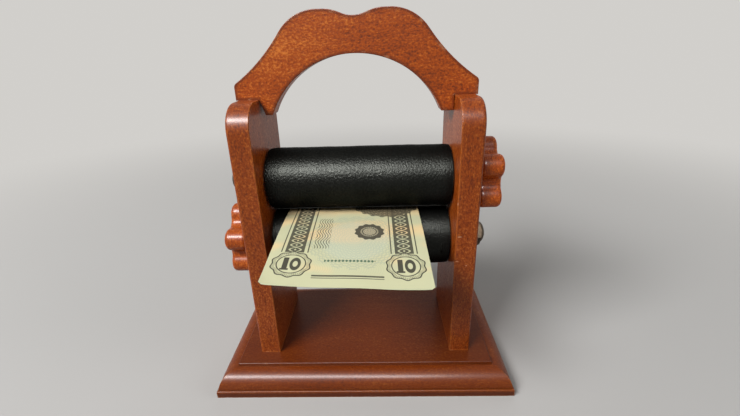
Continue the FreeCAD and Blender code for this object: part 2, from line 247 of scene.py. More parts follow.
class Graph:
    """A node tree filled in by short calls."""

    def __init__(self, tree):
        self.tree = tree

    def node(self, kind, **settings):
        """A shader node of a kind, with its settings."""
        made = self.tree.nodes.new("ShaderNode" + kind)
        for name, item in settings.items():
            setattr(made, name, item)
        return made

    def feed(self, socket, item):
        """Link a value to a socket, or set it."""
        if isinstance(item, Value):
            self.tree.links.new(item.socket, socket)
        elif hasattr(item, "__len__") and socket.type == "RGBA":
            socket.default_value = (*item[:3], 1.0)
        else:
            socket.default_value = item

    def math(self, operation, *items):
        """One step of arithmetic."""
        made = self.node("Math", operation=operation)
        for socket, item in zip(made.inputs, items):
            self.feed(socket, item)
        return Value(self, made.outputs[0])

    def scaled(self, vector, factors):
        """A vector times three factors."""
        made = self.node("VectorMath", operation="MULTIPLY")
        self.feed(made.inputs[0], vector)
        self.feed(made.inputs[1], factors)
        return Value(self, made.outputs[0])

    def shifted(self, vector, offset):
        """A vector plus an offset."""
        made = self.node("VectorMath", operation="ADD")
        self.feed(made.inputs[0], vector)
        self.feed(made.inputs[1], offset)
        return Value(self, made.outputs[0])

    def split(self, vector):
        """A vector's three parts."""
        made = self.node("SeparateXYZ")
        self.feed(made.inputs[0], vector)
        return [Value(self, socket) for socket in made.outputs]

    def joined(self, x, y, z):
        """A vector from three parts."""
        made = self.node("CombineXYZ")
        for socket, item in zip(made.inputs, (x, y, z)):
            self.feed(socket, item)
        return Value(self, made.outputs[0])

    def noise(self, vector, factors=(1.0, 1.0, 1.0), detail=2.0, roughness=0.5):
        """Noise from 0 to 1, its vector first times three factors."""
        made = self.node("TexNoise")
        self.feed(made.inputs["Vector"], self.scaled(vector, factors))
        self.feed(made.inputs["Scale"], 1.0)
        self.feed(made.inputs["Detail"], detail)
        self.feed(made.inputs["Roughness"], roughness)
        return Value(self, made.outputs[0])

    def mix(self, share, first, second):
        """One colour turned into another by a share."""
        made = self.node("Mix", data_type="RGBA")
        for index, item in ((0, share), (6, first), (7, second)):
            self.feed(made.inputs[index], item)
        return Value(self, made.outputs[2])

    def place(self):
        """The point on the object, in millimetres of the row's frame."""
        made = self.node("TexCoord")
        return self.scaled(Value(self, made.outputs["Object"]), (1.0 / MM,) * 3)

    def near(self, place, spot, reach):
        """A mask of a soft egg shape round a spot, in the place's own units."""
        offset = self.shifted(place, [-part for part in spot])
        size = self.node("VectorMath", operation="LENGTH")
        self.feed(size.inputs[0], self.scaled(offset, [1.0 / part for part in reach]))
        return Value(self, size.outputs["Value"]).inside(0.8, 0.35)

    def bump(self, height, depth, strength=1.0):
        """A normal from a height between 0 and 1 that stands for a depth."""
        made = self.node("Bump")
        self.feed(made.inputs["Strength"], strength)
        self.feed(made.inputs["Distance"], depth)
        self.feed(made.inputs["Height"], height)
        return Value(self, made.outputs["Normal"])

    def group(self, tree, **items):
        """A shared group placed here, its outputs by name."""
        made = self.node("Group", node_tree=tree)
        for name, item in items.items():
            self.feed(made.inputs[name], item)
        return {socket.name: Value(self, socket) for socket in made.outputs}

    def finish(self, **items):
        """The material's own surface shader, its sockets by name."""
        surface = self.node("BsdfPrincipled")
        for name, item in items.items():
            self.feed(surface.inputs[name.replace("_", " ")], item)
        output = self.node("OutputMaterial")
        self.tree.links.new(surface.outputs[0], output.inputs["Surface"])


def shared_group(name, inputs, outputs):
    """A new shader group: its graph, its inputs by name and the function that sets its outputs."""
    tree = bpy.data.node_groups.new(name, "ShaderNodeTree")
    kinds = {"value": "NodeSocketFloat", "colour": "NodeSocketColor", "vector": "NodeSocketVector"}
    for label, kind in inputs:
        tree.interface.new_socket(label, in_out="INPUT", socket_type=kinds[kind])
    for label, kind in outputs:
        tree.interface.new_socket(label, in_out="OUTPUT", socket_type=kinds[kind])
    graph = Graph(tree)
    entry = tree.nodes.new("NodeGroupInput")
    leave = tree.nodes.new("NodeGroupOutput")

    def put_out(**items):
        for label, item in items.items():
            graph.feed(leave.inputs[label], item)

    return graph, {socket.name: Value(graph, socket) for socket in entry.outputs}, put_out


def new_material(name):
    """An empty material and its graph."""
    made = bpy.data.materials.new(name)
    made.use_nodes = True
    made.node_tree.nodes.clear()
    return made, Graph(made.node_tree)


def dress(material, *nodes):
    """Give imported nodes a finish."""
    for name in nodes:
        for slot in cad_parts[name].material_slots:
            slot.material = material


def figured_wood_group():
    """The figure, flecks and pores of fine-grained wood, with the grain along X.

    The three numbers of each noise are its waves to a millimetre along the grain and across it.
    """
    graph, given, put_out = shared_group(
        "figured_wood",
        [("Place", "vector"), ("Deep", "colour"), ("Stain", "colour"), ("Pale", "colour"),
         ("Figure", "value"), ("Fleck", "value")],
        [("Color", "colour"), ("Grain", "value")],
    )
    most_sway = 16.0
    sway = (graph.noise(given["Place"], (0.013, 0.04, 0.04), detail=1.0) - 0.5) * most_sway
    place = graph.shifted(given["Place"], graph.joined(0.0, sway, sway))
    ribbon = graph.noise(place, (0.010, 0.13, 0.13), detail=4.0, roughness=0.55)
    cloud = graph.noise(place, (0.030, 0.045, 0.045), detail=1.0)
    fleck = graph.noise(place, (0.38, 0.95, 0.95), detail=2.0, roughness=0.6)
    speck = graph.noise(place, (0.90, 1.30, 1.30), detail=1.5, roughness=0.6)
    pore = graph.noise(place, (0.42, 3.4, 3.4), detail=1.0).fade(0.60, 0.72)
    figure = (ribbon - 0.5) * 2.6 + (cloud - 0.5) * 1.4
    flecks = (fleck - 0.5) * 2.2 + (speck - 0.5) * 4.6
    tone = figure * given["Figure"] + flecks * given["Fleck"]
    wood = graph.mix(tone.fade(-0.75, 0.05), given["Deep"], given["Stain"])
    wood = graph.mix(tone.fade(-0.05, 0.80), wood, given["Pale"])
    put_out(
        Color=graph.mix(pore * 0.45, wood, given["Deep"]),
        Grain=flecks * 0.35 + 0.5 - pore * 0.4,
    )
    return graph.tree


def edge_group():
    """Masks of a piece's outer edges, and of the painted shade in its inner corners."""
    edge_starts, edge_full = 0.9996, 0.972
    corner_starts, corner_full = 0.92, 0.55
    corner_widths = 1.5
    graph, given, put_out = shared_group(
        "piece_edges", [("Width", "value")], [("Edge", "value"), ("Corner", "value")]
    )
    rounded = graph.node("Bevel", samples=8)
    graph.feed(rounded.inputs["Radius"], given["Width"])
    true = graph.node("NewGeometry")
    apart = graph.node("VectorMath", operation="DOT_PRODUCT")
    graph.tree.links.new(rounded.outputs[0], apart.inputs[0])
    graph.tree.links.new(true.outputs["Normal"], apart.inputs[1])
    # Ambient occlusion over a short reach marks the inner corners for painted shade.
    open_sky = graph.node("AmbientOcclusion", samples=6, only_local=True)
    graph.feed(open_sky.inputs["Distance"], given["Width"] * corner_widths)
    corner = Value(graph, open_sky.outputs["AO"]).fade(corner_starts, corner_full)
    bend = Value(graph, apart.outputs["Value"]).fade(edge_starts, edge_full)
    put_out(Edge=bend * (1.0 - corner), Corner=corner)
    return graph.tree


# A height in millimetres that no piece reaches
NEVER = 1000.0

# Which parts of a place lie along the grain and across it
GRAIN_ALONG = {
    "X": (0, 1, 2),
    "Y": (1, 2, 0),
    "Z": (2, 0, 1),
}


def wood_material(
    name, settings, groups, grain_axis, figure, fleck, tint, edge_share, edge_widths=1.0,
    dark_edges_from=NEVER, shade_bands=(), lacquer=0.32, dings=(),
):
    """Mahogany-stained wood under gloss lacquer, with the grain along one axis.

    Edges are pale up to the height dark_edges_from, and dark above it: the pale edges are painted
    highlight and the dark ones painted shade, on the arch with some gathered stain. Each band of
    painted shade is given as a lower height, an upper height and a share of the deep tone between
    them. Each entry of dings is a chip's place and its reach. All of these are in millimetres.
    """
    made, graph = new_material(name)
    place = graph.place()
    parts = graph.split(place)
    height = parts[2]
    along = graph.joined(*[parts[index] for index in GRAIN_ALONG[grain_axis]])
    deep, stain, pale = (
        [tint * part for part in tone] for tone in (settings.deep, settings.stain, settings.pale)
    )
    wood = graph.group(
        groups["wood"], Place=along, Deep=deep, Stain=stain, Pale=pale, Figure=figure, Fleck=fleck
    )
    edges = graph.group(groups["edges"], Width=settings.edge_width * edge_widths)
    rubbed = graph.noise(place, (0.22, 0.22, 0.22), detail=3.0, roughness=0.7).fade(0.54, 0.70)
    # Edge tone: painted highlight where the edges are pale, painted shade where they are dark, the
    # arch's with some gathered stain.
    edge_colour = graph.mix(height.fade(dark_edges_from - 0.6, dark_edges_from), pale, deep)
    colour = wood["Color"]
    # Bands of painted shade: the deep tone mixed in between two heights.
    for low, high, share in shade_bands:
        shade_band = height.fade(low - 0.3, low + 0.3) * height.fade(high + 0.3, high - 0.3)
        colour = graph.mix(shade_band * share, colour, deep)
    colour = graph.mix(edges["Edge"] * edge_share, colour, edge_colour)
    colour = graph.mix(edges["Edge"] * rubbed * 0.35, colour, settings.bare)
    # Painted shade in the inner corners, such as between a knob's lobes and where the moulding
    # steps.
    colour = graph.mix(edges["Corner"] * 0.8, colour, deep)
    for spot, reach in dings:
        colour = graph.mix(graph.near(place, spot, reach) * 0.75, colour, settings.bare)
    smear = graph.noise(place, (0.06, 0.06, 0.06), detail=3.0, roughness=0.6)
    graph.finish(
        Base_Color=colour,
        Roughness=wood["Grain"] * -0.12 + smear * 0.10 + 0.45,
        Normal=graph.bump(wood["Grain"], 0.045 * MM, 0.8),
        Specular_IOR_Level=0.1,
        Coat_Weight=lacquer,
        Coat_Roughness=0.25,
    )
    return made


def raw_wood_material(settings, groups):
    """Plain unstained wood."""
    made, graph = new_material("raw_wood")
    deep, stain, pale = ([part * factor for part in settings.raw] for factor in (0.62, 1.0, 1.25))
    wood = graph.group(
        groups["wood"], Place=graph.place(), Deep=deep, Stain=stain, Pale=pale,
        Figure=0.7, Fleck=0.5,
    )
    graph.finish(
        Base_Color=wood["Color"],
        Roughness=wood["Grain"] * -0.1 + 0.7,
        Normal=graph.bump(wood["Grain"], 0.05 * MM, 0.6),
    )
    return made


def brushed_metal_group():
    """Fine turned scratches and slow stains, for metal turned about X."""
    graph, given, put_out = shared_group(
        "turned_metal", [("Place", "vector"), ("Metal", "colour"), ("Stained", "value")],
        [("Color", "colour"), ("Roughness", "value"), ("Scratch", "value")],
    )
    scratch = graph.noise(given["Place"], (9.0, 0.9, 0.9), detail=2.0, roughness=0.6)
    stain = graph.noise(given["Place"], (0.5, 0.5, 0.5), detail=3.0, roughness=0.6)
    dulled = graph.mix(0.55, given["Metal"], (0.02, 0.015, 0.01))
    put_out(
        Color=graph.mix(stain.fade(0.40, 0.68) * given["Stained"], given["Metal"], dulled),
        Roughness=stain * 0.22 + scratch * 0.16 + 0.14,
        Scratch=scratch,
    )
    return graph.tree


def metal_material(name, colour, group, stained):
    """A turned metal with its own colour."""
    made, graph = new_material(name)
    metal = graph.group(group, Place=graph.place(), Metal=colour, Stained=stained)
    graph.finish(
        Base_Color=metal["Color"], Roughness=metal["Roughness"], Metallic=1.0,
        Normal=graph.bump(metal["Scratch"], 0.01 * MM, 0.4),
    )
    return made


def satin_material(settings):
    """Black satin: a fine bright grain, faint bands round the roller and one small fold."""
    bright_threads = 1.75
    weave_depth = 0.34 * MM
    made, graph = new_material("black_satin")
    source = graph.node("UVMap", uv_map="Strip")
    place = graph.scaled(Value(graph, source.outputs[0]), (1.0 / MM, 1.0 / MM, 1.0))
    grain = graph.noise(place, (0.85, 1.05, 1.0), detail=2.0, roughness=0.7)
    bands = graph.noise(place, (0.012, 0.13, 1.0), detail=3.0, roughness=0.6)
    lines = graph.noise(place, (0.25, 2.4, 1.0), detail=2.0, roughness=0.6)
    fold = graph.near(graph.place(), settings.fold_place, settings.fold_reach)
    # The fold's share in the sheen makes the satin lighter there: a painted highlight on the fold,
    # besides its bump.
    sheen = (grain - 0.5) * 2.4 + (bands - 0.5) * 1.3 + (lines - 0.5) * 0.5 + fold * 0.8
    light = [part * bright_threads for part in settings.thread]
    height = grain * 0.8 + bands * 0.5 + lines * 0.08 + fold * 1.5
    graph.finish(
        Base_Color=graph.mix(sheen.fade(-0.45, 0.6), settings.thread, light),
        Roughness=0.34 - sheen * 0.06,
        Metallic=0.85,
        Normal=graph.bump(height, weave_depth, 1.0),
        Specular_IOR_Level=0.25,
        Specular_Tint=(0.25, 0.25, 0.25),
    )
    return made


def winding_places(roller):
    """A roller's axis height, core radius, winding radius and half width, in metres."""
    core_low, core_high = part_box(f"{roller}_roller_core")
    low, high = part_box(f"{roller}_cloth")
    return (
        (low[2] + high[2]) / 2,
        (core_high[2] - core_low[2]) / 2,
        (high[2] - low[2]) / 2,
        (high[0] - low[0]) / 2,
    )


def crossing_angle():
    """How far from the line between the axes the cloth leaves a roller, in radians."""
    upper_height, _, upper_radius, _ = winding_places("upper")
    lower_height, _, lower_radius, _ = winding_places("lower")
    return math.acos((upper_radius + lower_radius) / (upper_height - lower_height))


def swell_of(settings, across, angle, phase):
    """The height of the winding's soft unevenness, from its place across and its turn."""
    bands = math.sin(across * 310.0 + phase) * 0.45
    bands += math.sin(across * 760.0 + 2.1 * phase) * 0.35
    drift = math.sin(across * 120.0 + 3.0 * math.sin(angle) + phase) * 0.4
    return settings.swell * (bands + drift)


def grid_mesh(rows, layout_name):
    """A mesh of quads over rows of (place, layout) pairs, with its flat layout as a UV map."""
    mesh = bmesh.new()
    layout = mesh.loops.layers.uv.new(layout_name)
    rows = [[(mesh.verts.new(place), flat) for place, flat in row] for row in rows]
    for back, front in zip(rows, rows[1:]):
        for column in range(len(back) - 1):
            corners = [back[column], back[column + 1], front[column + 1], front[column]]
            face = mesh.faces.new([vertex for vertex, _ in corners])
            face.smooth = True
            for loop, (_, flat) in zip(face.loops, corners):
                loop[layout].uv = flat
    return mesh


def winding_mesh(name, settings, roller, outer_end, phase):
    """A strip of cloth wound round a roller's core, out to where it leaves for the other one."""
    height, inner, outer, half_width = winding_places(roller)
    steps_per_turn = 48
    columns = 30
    most_slip = 0.22 * MM
    edge_drop = 0.25 * MM
    edge_starts = 0.93
    pitch = (outer - inner) / settings.turns
    room = 1 - settings.thickness / (outer - inner)
    rows = []
    along = 0.0
    for step in range(settings.turns * steps_per_turn + 1):
        turned = step / steps_per_turn
        outward = turned / settings.turns
        angle = outer_end - 2 * math.pi * (settings.turns - turned)
        radius = inner + settings.thickness / 2 + pitch * turned * room
        along += radius * 2 * math.pi / steps_per_turn
        slip = most_slip * math.sin(2.3 * turned + phase)
        row = []
        for column in range(columns + 1):
            share = 2 * column / columns - 1
            share = math.copysign(abs(share) ** 0.8, share)
            across = half_width * share
            edge = max(0.0, abs(share) - edge_starts) / (1 - edge_starts)
            lift = (swell_of(settings, across, angle, phase) - edge_drop * edge * edge) * outward
            x = across + slip * abs(share) ** 6
            y = -(radius + lift) * math.sin(angle)
            z = height + (radius + lift) * math.cos(angle)
            row.append(((x, y, z), (along, across)))
        rows.append(row)
    return finished_sheet(grid_mesh(rows, "Strip"), name, settings.thickness)


def finished_sheet(mesh, name, thickness):
    """A flat mesh made into a thin closed piece."""
    bmesh.ops.recalc_face_normals(mesh, faces=mesh.faces)
    bmesh.ops.solidify(mesh, geom=mesh.faces[:], thickness=thickness)
    data = bpy.data.meshes.new(name)
    mesh.to_mesh(data)
    mesh.free()
    data.set_sharp_from_angle(angle=math.radians(50))
    made = bpy.data.objects.new(name, data)
    bpy.context.scene.collection.objects.link(made)
    return made


def crossing_mesh(name, settings):
    """The cloth that crosses from the lower roller's back to the upper one's front."""
    leave = crossing_angle()
    half_width = winding_places("upper")[3]
    wrap = math.radians(16)
    wrap_steps = 6
    columns = 24
    above_winding = 0.12 * MM
    path = []
    for roller, side in (("lower", 1), ("upper", -1)):
        height, _, radius, _ = winding_places(roller)
        clear = radius + above_winding
        for step in range(wrap_steps + 1):
            share = step / wrap_steps
            angle = leave + wrap * (1 - share if side > 0 else share)
            path.append((side * clear * math.sin(angle), height + side * clear * math.cos(angle)))
    rows = []
    along = 0.0
    for index, (y, z) in enumerate(path):
        if index:
            along += math.dist(path[index - 1], (y, z))
        places = [half_width * (2 * column / columns - 1) for column in range(columns + 1)]
        rows.append([((across, y, z), (along, across)) for across in places])
    return finished_sheet(grid_mesh(rows, "Strip"), name, settings.thickness), along


def nip_height():
    """The height at which the note leaves the rollers."""
    height, _, radius, _ = winding_places("lower")
    return height + radius + NOTE_ABOVE_ROLLER * MM


def note_place(settings, nip, across, out):
    """Where a point of the note lies: across from its middle, and out from the nip."""
    share = out / settings.out
    side = across / (settings.width / 2)
    fall = NOTE_SAG * share * abs(share) + NOTE_TWIST * side * share
    fall -= NOTE_CROWN * side * side * share
    fall -= NOTE_RIPPLE * math.sin(across * NOTE_RIPPLES_PER_METRE + 1.0) * share
    fall += NOTE_DIP * math.exp(-((out / (NOTE_DIP_REACH * MM)) ** 2))
    corner = max(0.0, abs(side) + share - CURL_START)
    fall -= (LEFT_CURL if side < 0 else RIGHT_CURL) * corner ** 1.5
    return Vector((
        NOTE_SHIFT * MM + across * math.cos(NOTE_SKEW) + out * math.sin(NOTE_SKEW),
        across * math.sin(NOTE_SKEW) - out * math.cos(NOTE_SKEW),
        nip - math.tan(NOTE_SLOPE) * out - fall * MM,
    ))


def note_mesh(settings):
    """The note from inside the nip to its near edge."""
    nip = nip_height()
    columns, rows_out = 48, 52
    inside = NOTE_IN_NIP * MM
    corner_cut = NOTE_CORNER * MM
    length = settings.out + inside
    rows = []
    for step in range(rows_out + 1):
        out = -inside + length * step / rows_out
        row = []
        for column in range(columns + 1):
            across = settings.width / 2 * (2 * column / columns - 1)
            reach = out
            past = abs(across) - (settings.width / 2 - corner_cut)
            if past > 0:
                rounding = math.sqrt(max(0.0, corner_cut ** 2 - past ** 2))
                reach = min(out, settings.out - corner_cut + rounding)
            flat = (across / settings.width + 0.5, (settings.out - reach) / length)
            row.append((note_place(settings, nip, across, reach), flat))
        rows.append(row)
    mesh = grid_mesh(rows, "OFBake")
    bmesh.ops.remove_doubles(mesh, verts=mesh.verts, dist=1e-6)
    return finished_sheet(mesh, "printed_note", settings.thickness)


class NotePrint:
    """The note's generic print and its crease, as masks.

    x runs across from the left edge and y in from the near edge, both in millimetres.
    """

    BAND_MIDDLE = 10.0
    BAND_END = 21.0
    CORNER_NUMBER_Y = 13.0
    SIDE_MARGIN = 19.0

    def __init__(self, graph, settings):
        source = graph.node("UVMap", uv_map="OFBake")
        across, out, _ = graph.split(Value(graph, source.outputs[0]))
        self.graph = graph
        self.width = settings.width / MM
        self.x = across * self.width
        self.y = out * (settings.out / MM + NOTE_IN_NIP)
        self.from_side = self.width / 2 - abs(self.x - self.width / 2)

    def sine(self, value):
        """A wave from -1 to 1."""
        return self.graph.math("SINE", value)

    def polar(self, dx, dy):
        """The distance and the turn of an offset."""
        return (dx * dx + dy * dy) ** 0.5, self.graph.math("ARCTAN2", dy, dx)

    def wavy(self, radius, turn, petals, sway, phase=0.0):
        """A radius that waves round its middle."""
        return radius + self.graph.math("COSINE", turn * petals + phase) * sway

    def rosette(self, middle, reach, lines, petals, sway):
        """Two sets of wavy rings that cross inside a wavy rim, the plain radius and the rim's."""
        radius, turn = self.polar(self.x - middle[0], self.y - middle[1])
        rim = self.wavy(radius, turn, petals, sway)
        rings = [
            self.sine(self.wavy(radius, turn, petals, sway, phase) * (2 * math.pi * lines))
            for phase in (0.0, math.pi)
        ]
        crossed = rings[0].fade(0.1, 0.8).either(rings[1].fade(0.1, 0.8))
        return crossed * rim.inside(reach, 0.1), radius, rim

    def box(self, left, right, near, far, soft=0.06):
        """A mask of an upright rectangle."""
        dx = abs(self.x - (left + right) / 2)
        dy = abs(self.y - (near + far) / 2)
        return dx.inside((right - left) / 2, soft) * dy.inside((far - near) / 2, soft)

    def beyond_corners(self):
        """1 past the corner numbers, where the side bands and their lines run."""
        return self.y.fade(self.BAND_END - 0.5, self.BAND_END)

    def ground(self, settings, fibre):
        """The paper's colour with its tints, its pale rosette and its fine lines."""
        graph, x, y = self.graph, self.x, self.y
        blot = graph.noise(graph.joined(x, y, 3.0), (0.045, 0.07, 1.0), detail=1.0)
        warm = (blot + y * 0.006).fade(0.60, 0.86)
        paper = graph.mix(warm * 0.85, settings.paper, settings.warm)
        paper = graph.mix((fibre - 0.5).fade(0.0, 0.25) * 0.16, paper, (0.52, 0.55, 0.36))
        rosette, radius, _ = self.rosette((35.0, 31.0), 21.0, 0.62, 18.0, 0.9)
        paper = graph.mix(rosette * 0.30, paper, (0.28, 0.36, 0.33))
        lines = self.sine((x + self.sine(y * 0.45) * 1.5) * 6.5).fade(0.3, 0.9)
        field = self.box(self.SIDE_MARGIN, self.width - self.SIDE_MARGIN, 8.0, 66.0, 0.3)
        paper = graph.mix(lines * field * 0.16, paper, (0.34, 0.40, 0.30))
        return graph.mix(radius.inside(15.0, 2.0) * 0.22, paper, (0.55, 0.66, 0.60))

    def seal(self):
        """A small ring with a wavy rim round crossed rings."""
        rosette, radius, rim = self.rosette((41.5, 37.5), 6.6, 1.25, 12.0, 0.35)
        ring = rim.inside(6.6, 0.08) * (1.0 - radius.inside(4.1, 0.08))
        return (ring * 0.94).either(rosette * 0.80).either(abs(radius - 3.2).inside(0.25) * 0.95)

    def fan(self):
        """The near part of a large rosette, which the nip cuts off."""
        rosette, _, rim = self.rosette((50.0, 70.0), 19.0, 0.55, 24.0, 0.5)
        return rim.inside(18.6, 0.3) * (0.62 + rosette * 0.30)

    def bands(self):
        """Two dark side bands, each with a light braid and a row of lozenges."""
        from_middle = self.from_side - self.BAND_MIDDLE
        sway = self.sine(self.y * 0.9) * 2.4
        light = abs(from_middle - sway).inside(0.42, 0.1)
        light = light.either(abs(from_middle + sway).inside(0.42, 0.1))
        step = abs(self.graph.math("PINGPONG", self.y + 0.87, 1.745) - 0.87)
        light = light.either((abs(from_middle) + step).inside(0.6))
        return abs(from_middle).inside(4.0) * self.beyond_corners() * (0.92 - light * 0.80)

    def corner_numbers(self):
        """A plain number ten in a rayed ring at each near corner."""
        from_middle = self.from_side - self.BAND_MIDDLE
        digit_y = self.y - self.CORNER_NUMBER_Y
        radius, turn = self.polar(from_middle, digit_y)
        rim = self.wavy(radius, turn, 10.0, 0.35)
        rays = self.sine(turn * 60.0).fade(-0.2, 0.6)
        ring = rim.inside(7.9, 0.1) * (1.0 - rim.inside(6.3, 0.1))
        ink = ring * (0.10 + rays * 0.40)
        ink = ink.either(abs(rim - 7.8).inside(0.28) * 0.97)
        ink = ink.either(abs(radius - 5.8).inside(0.25) * 0.95)
        for middle in (self.BAND_MIDDLE, self.width - self.BAND_MIDDLE):
            one_x = self.x - (middle - 2.3)
            one = abs(one_x).inside(1.05) * abs(digit_y).inside(3.9)
            one = one.either(abs(one_x).inside(1.7) * abs(digit_y + 3.5).inside(0.5))
            nought_x = (self.x - (middle + 1.7)) / 2.2
            nought_y = digit_y / 4.0
            nought = (nought_x * nought_x + nought_y * nought_y) ** 0.5
            nought = abs(nought - 0.73).inside(0.27, 0.04)
            ink = ink.either(one * 0.97).either(nought * 0.97)
        return ink

    def lines(self):
        """The lines along the near edge and the bands, and a block of waves."""
        left, right = self.SIDE_MARGIN, self.width - self.SIDE_MARGIN
        lines = self.box(left, right, 4.9, 5.3).either(self.box(left, right, 5.9, 6.8))
        for place in (15.6, 4.6):
            beside = abs(self.from_side - place).inside(0.26) * self.beyond_corners()
            lines = lines.either(beside)
        waves = self.sine((self.x + self.sine(self.y * 0.7) * 0.8) * 5.2).fade(0.2, 0.9)
        waves = waves * self.box(17.5, 24.0, 24.0, 50.0, 0.4)
        return (lines * 0.92).either(waves * 0.85)

    def lozenges(self):
        """A row of small lozenges."""
        step = self.graph.math("PINGPONG", self.x, 1.5)
        lozenge = (abs(step - 0.75) * 1.2 + abs(self.y - 15.5)).inside(0.85, 0.15)
        return lozenge * self.box(23.0, 44.0, 13.0, 18.0)

    def crease(self):
        """A soft fold across the note, whose darker line on the paper is painted shade."""
        return abs(self.y - 30.5 - self.x * 0.01).inside(0.10, 0.25)


def note_material(settings):
    """Printed paper: tinted ground, fine line rosettes, side bands and plain corner numbers."""
    made, graph = new_material("printed_paper")
    printed = NotePrint(graph, settings)
    flat = graph.joined(printed.x, printed.y, 0.0)
    fibre = graph.noise(flat, (1.1, 1.1, 1.0), detail=4.0, roughness=0.7)
    ink = printed.seal()
    for more in (printed.fan(), printed.bands(), printed.corner_numbers(), printed.lines()):
        ink = ink.either(more)
    paper = graph.mix(ink * 0.97, printed.ground(settings, fibre), settings.ink)
    paper = graph.mix(printed.lozenges() * 0.85, paper, settings.green)
    crease = printed.crease()
    graph.finish(
        # The crease's darker line is painted shade; its dip is a bump.
        Base_Color=graph.mix(crease * 0.25, paper, (0.40, 0.40, 0.28)),
        Roughness=fibre * 0.15 + 0.58,
        Normal=graph.bump(fibre * 0.5 - crease * 0.8 + ink * 0.1, 0.06 * MM, 0.5),
        Specular_IOR_Level=0.2,
    )
    return made


def floor_material(settings):
    """Pale floor that runs into the background far from the object."""
    fade_starts, fade_ends = 170.0, 760.0
    floor_bounce = 0.4
    made, graph = new_material("pale_floor")
    place = graph.place()
    smudge = graph.noise(place, (0.01, 0.01, 0.01), detail=3.0)
    colour = graph.mix(smudge * 0.10, settings.floor, [part * 0.9 for part in settings.floor])
    bounce = [part * floor_bounce for part in settings.floor]
    surface = graph.node("BsdfPrincipled")
    graph.feed(surface.inputs["Base Color"], graph.mix(seen_directly(graph), bounce, colour))
    graph.feed(surface.inputs["Roughness"], 0.7)
    graph.feed(surface.inputs["Specular IOR Level"], 0.2)
    glow = graph.node("Emission")
    graph.feed(glow.inputs["Color"], settings.background)
    graph.feed(glow.inputs["Strength"], glow_strength(graph, settings.room_light))
    x, y, _ = graph.split(place)
    blend = graph.node("MixShader")
    graph.feed(blend.inputs[0], ((x * x + y * y) ** 0.5).fade(fade_starts, fade_ends))
    graph.tree.links.new(surface.outputs[0], blend.inputs[1])
    graph.tree.links.new(glow.outputs[0], blend.inputs[2])
    output = graph.node("OutputMaterial")
    graph.tree.links.new(blend.outputs[0], output.inputs["Surface"])
    return made


def seen_directly(graph):
    """1 for rays from the camera, from a gloss or through glass."""
    path = graph.node("LightPath")
    kinds = ("Is Camera Ray", "Is Glossy Ray", "Is Transmission Ray")
    camera, glossy, through = (Value(graph, path.outputs[kind]) for kind in kinds)
    return camera.either(glossy).either(through)


def glow_strength(graph, room):
    """Full strength where the glow is seen, and the room's share of it where it lights."""
    return seen_directly(graph) * (1.0 - room) + room


def lay_floor(settings):
    """A round floor under the object."""
    mesh = bmesh.new()
    bmesh.ops.create_circle(mesh, cap_ends=True, segments=96, radius=settings.floor_radius)
    data = bpy.data.meshes.new("pale_floor")
    mesh.to_mesh(data)
    mesh.free()
    data.materials.append(floor_material(settings))
    made = bpy.data.objects.new("pale_floor", data)
    bpy.context.scene.collection.objects.link(made)
    made.location.z = -0.1 * MM


def light_room(settings):
    """Even pale light from all round, which also is the background."""
    world = bpy.data.worlds.new("studio")
    world.use_nodes = True
    world.node_tree.nodes.clear()
    graph = Graph(world.node_tree)
    glow = graph.node("Background")
    graph.feed(glow.inputs["Color"], settings.background)
    room = settings.room_light / max(settings.background)
    graph.feed(glow.inputs["Strength"], glow_strength(graph, room))
    output = graph.node("OutputWorld")
    graph.tree.links.new(glow.outputs[0], output.inputs["Surface"])
    bpy.context.scene.world = world


def hang_lamp(name, place, size, power, in_gloss=True, lights=True):
    """A soft rectangular lamp that faces the object, seen in gloss, in plain light or in both."""
    light = bpy.data.lights.new(name, "AREA")
    light.shape = "RECTANGLE"
    light.size, light.size_y = size
    light.energy = power
    made = bpy.data.objects.new(name, light)
    made.visible_glossy = in_gloss
    made.visible_diffuse = lights
    made.location = place
    made.rotation_euler = (LAMP_AIM - Vector(place)).to_track_quat("-Z", "Y").to_euler()
    bpy.context.scene.collection.objects.link(made)


def set_camera():
    """The camera at the photograph's place, turn and focal length."""
    ahead = Vector((
        math.sin(CAMERA_YAW) * math.cos(CAMERA_PITCH),
        math.cos(CAMERA_YAW) * math.cos(CAMERA_PITCH),
        math.sin(CAMERA_PITCH),
    ))
    level = Vector((math.cos(CAMERA_YAW), -math.sin(CAMERA_YAW), 0.0))
    upright = level.cross(ahead)
    right = level * math.cos(CAMERA_ROLL) + upright * math.sin(CAMERA_ROLL)
    top = upright * math.cos(CAMERA_ROLL) - level * math.sin(CAMERA_ROLL)
    view = bpy.data.cameras.new("main_camera")
    view.sensor_width = SENSOR_WIDTH_MM
    view.lens = SENSOR_WIDTH_MM * FOCAL_LENGTH_PX / FRAME_WIDTH_PX
    view.shift_y = -AXIS_ABOVE_MIDDLE_PX / FRAME_WIDTH_PX
    view.clip_start = 10 * MM
    made = bpy.data.objects.new("main_camera", view)
    turn = Matrix((right, top, -ahead)).transposed().to_4x4()
    made.matrix_world = Matrix.Translation(CAMERA_PLACE) @ turn
    bpy.context.scene.collection.objects.link(made)
    bpy.context.scene.camera = made


